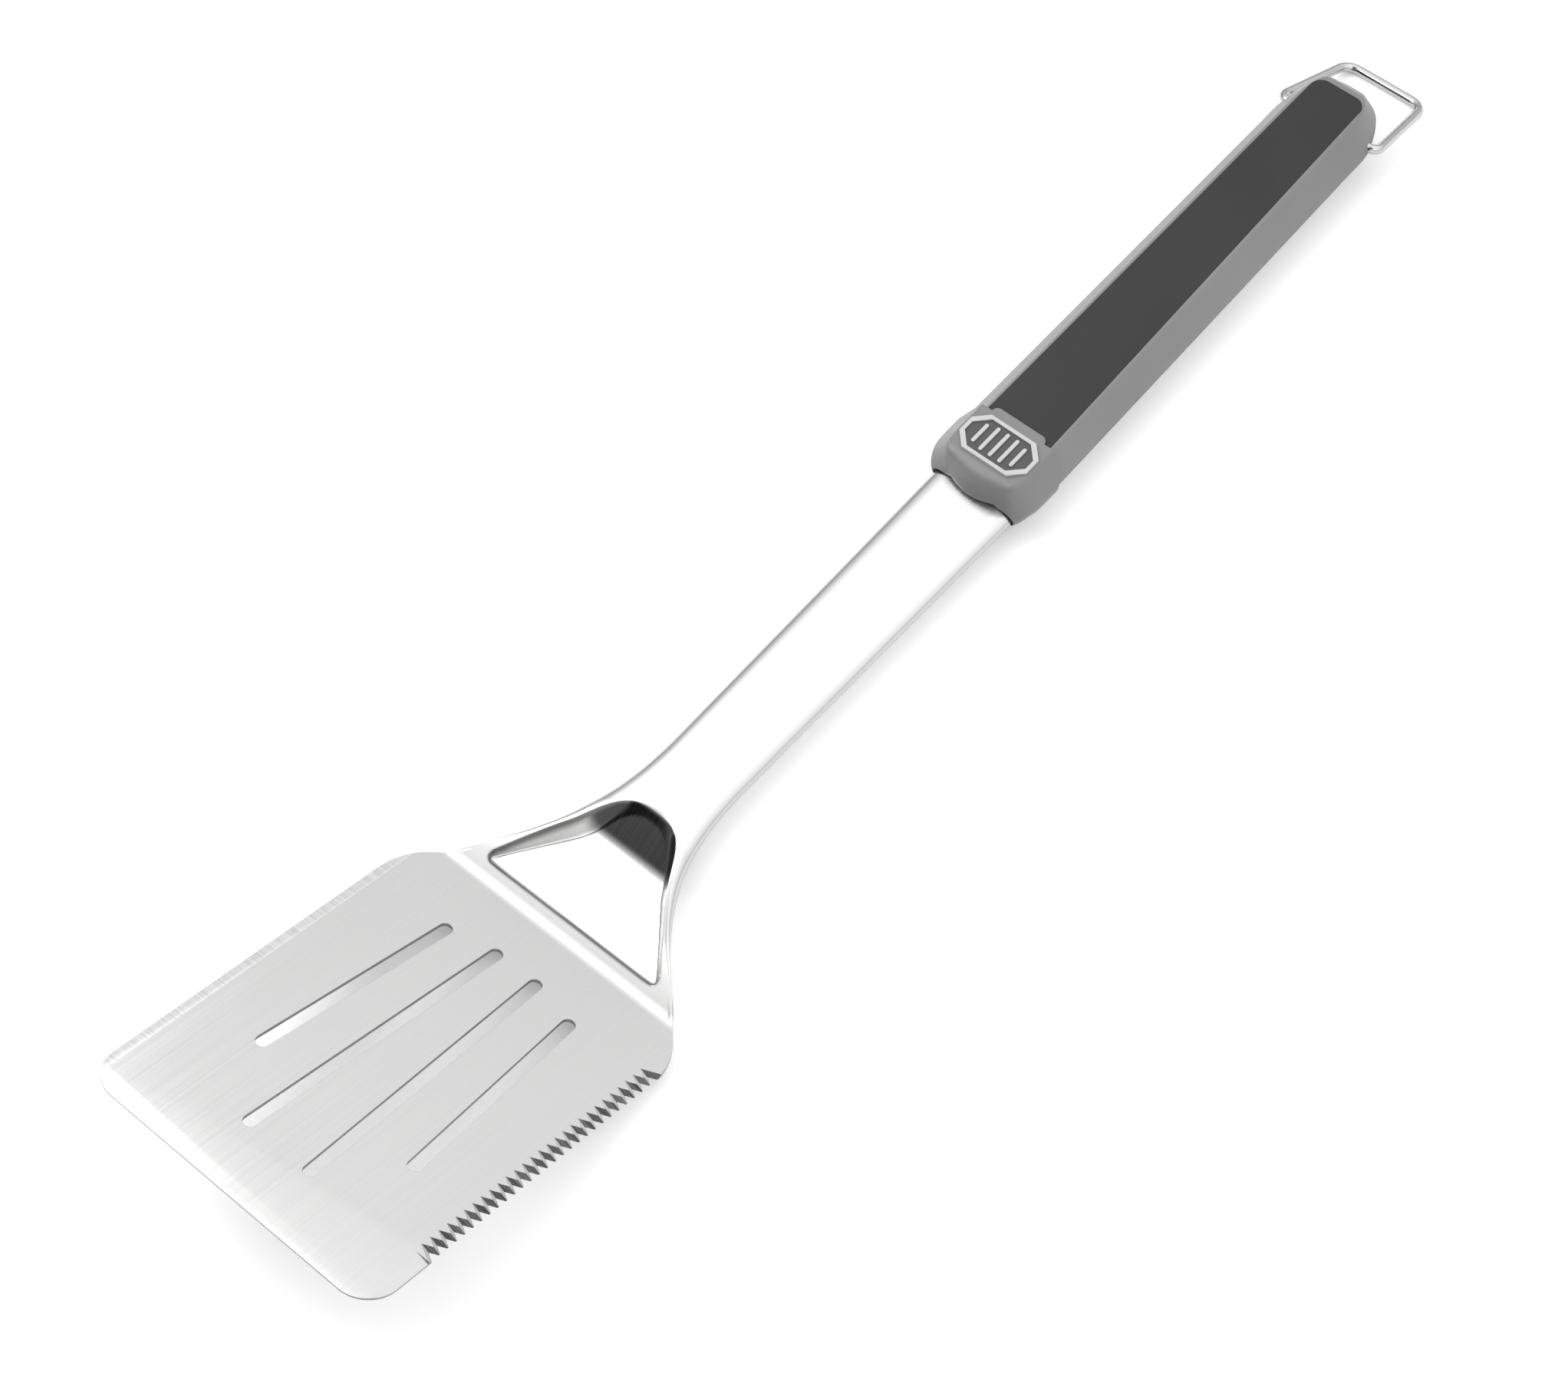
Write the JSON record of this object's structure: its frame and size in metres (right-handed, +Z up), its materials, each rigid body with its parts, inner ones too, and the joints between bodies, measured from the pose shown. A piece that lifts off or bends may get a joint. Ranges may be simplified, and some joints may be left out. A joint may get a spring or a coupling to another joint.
{
  "type": "grill spatula",
  "caption": "Slotted grill spatula with a serrated edge, long channel shank, two-shell handle with soft grip inlay and a swinging wire hanging loop.",
  "frame": {"origin": "centre of the bounding box, on the table the spatula lies on", "axes": "+X from the blade's front edge towards the hanging loop, +Y towards the blade's ground long edge, +Z up"},
  "size_m": [0.4884, 0.1, 0.0411],
  "materials": {
    "stainless_blade": "brushed, nearly white under soft light",
    "handle_shell": "satin grey",
    "handle_core": "plain moulded plastic",
    "grip": "matt soft-touch",
    "collar": "satin grey",
    "plaque_metal": "satin white",
    "plaque_ground": "matt dark grey",
    "chrome_wire": "polished"
  },
  "bodies": {
    "spatula": {"blade_stamping": "stainless_blade", "tang_rivets": "stainless_blade", "handle_core": "handle_core", "upper_shell": "handle_shell", "lower_shell": "handle_shell", "top_grip": "grip", "under_grip": "grip", "collar": "collar", "plaque_rim": "plaque_metal", "plaque_field": "plaque_ground", "plaque_bars": "plaque_metal"},
    "loop": {"hanging_loop": "chrome_wire"}
  },
  "joints": [
    {"name": "loop_swing", "type": "hinge", "parent": "spatula", "child": "loop", "pos_m": [0.21199, 0, 0.0127], "axis": [0, -1, 0], "range_deg": [-130, 172]}
  ]
}
